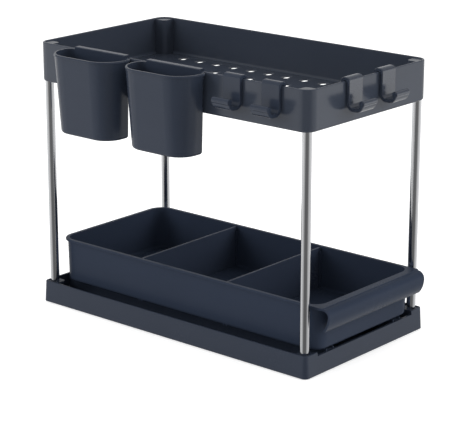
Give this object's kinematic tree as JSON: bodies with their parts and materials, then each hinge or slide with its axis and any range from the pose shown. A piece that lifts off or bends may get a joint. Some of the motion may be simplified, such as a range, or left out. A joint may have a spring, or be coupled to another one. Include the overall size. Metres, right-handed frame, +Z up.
{
  "type": "under sink organizer",
  "caption": "Two-tier under sink organizer: a drained upper tray on chromed tube posts over a base with a pull-out divided drawer, hanging cups and hang-on hooks.",
  "frame": {"origin": "centre of the whole organizer's bounding box, on the plane of the feet", "axes": "+X along the organizer towards the drawer's handle, +Y across it away from the cups, +Z up"},
  "size_m": [0.4255, 0.2602, 0.3222],
  "materials": {
    "charcoal_plastic": "fine satin texture, dark blue-grey",
    "polished_tube": "polished chrome plate on steel tube",
    "plug_plastic": "plain moulded",
    "foot_rubber": "matt",
    "zinc_steel": "zinc plated"
  },
  "bodies": {
    "frame": {"base_tray": "charcoal_plastic", "upper_tray": "charcoal_plastic", "post_front_left": "polished_tube", "foot_plug_front_left": "plug_plastic", "head_plug_front_left": "plug_plastic", "foot_pad_front_left": "foot_rubber", "post_front_right": "polished_tube", "foot_plug_front_right": "plug_plastic", "head_plug_front_right": "plug_plastic", "foot_pad_front_right": "foot_rubber", "post_rear_left": "polished_tube", "foot_plug_rear_left": "plug_plastic", "head_plug_rear_left": "plug_plastic", "foot_pad_rear_left": "foot_rubber", "post_rear_right": "polished_tube", "foot_plug_rear_right": "plug_plastic", "head_plug_rear_right": "plug_plastic", "foot_pad_rear_right": "foot_rubber", "post_screws": "zinc_steel"},
    "drawer": {"drawer": "charcoal_plastic"},
    "divider_rear": {"divider_rear": "charcoal_plastic"},
    "divider_front": {"divider_front": "charcoal_plastic"},
    "cup_rear": {"cup_rear": "charcoal_plastic"},
    "cup_front": {"cup_front": "charcoal_plastic"},
    "side_hook_rear": {"side_hook_rear": "charcoal_plastic"},
    "side_hook_front": {"side_hook_front": "charcoal_plastic"},
    "front_hook_left": {"front_hook_left": "charcoal_plastic"},
    "front_hook_right": {"front_hook_right": "charcoal_plastic"}
  },
  "joints": [
    {"name": "drawer_slide", "type": "slide", "parent": "frame", "child": "drawer", "axis": [1, 0, 0], "range_m": [0, 0.26]},
    {"name": "divider_rear_lift", "type": "slide", "parent": "drawer", "child": "divider_rear", "axis": [0, 0, 1], "range_m": [0, 0.055]},
    {"name": "divider_front_lift", "type": "slide", "parent": "drawer", "child": "divider_front", "axis": [0, 0, 1], "range_m": [0, 0.055]},
    {"name": "cup_rear_lift", "type": "slide", "parent": "frame", "child": "cup_rear", "axis": [0, 0, 1], "range_m": [0, 0.02]},
    {"name": "cup_front_lift", "type": "slide", "parent": "frame", "child": "cup_front", "axis": [0, 0, 1], "range_m": [0, 0.02]},
    {"name": "side_hook_rear_lift", "type": "slide", "parent": "frame", "child": "side_hook_rear", "axis": [0, 0, 1], "range_m": [0, 0.016]},
    {"name": "side_hook_front_lift", "type": "slide", "parent": "frame", "child": "side_hook_front", "axis": [0, 0, 1], "range_m": [0, 0.016]},
    {"name": "front_hook_left_lift", "type": "slide", "parent": "frame", "child": "front_hook_left", "axis": [0, 0, 1], "range_m": [0, 0.016]},
    {"name": "front_hook_right_lift", "type": "slide", "parent": "frame", "child": "front_hook_right", "axis": [0, 0, 1], "range_m": [0, 0.016]}
  ]
}
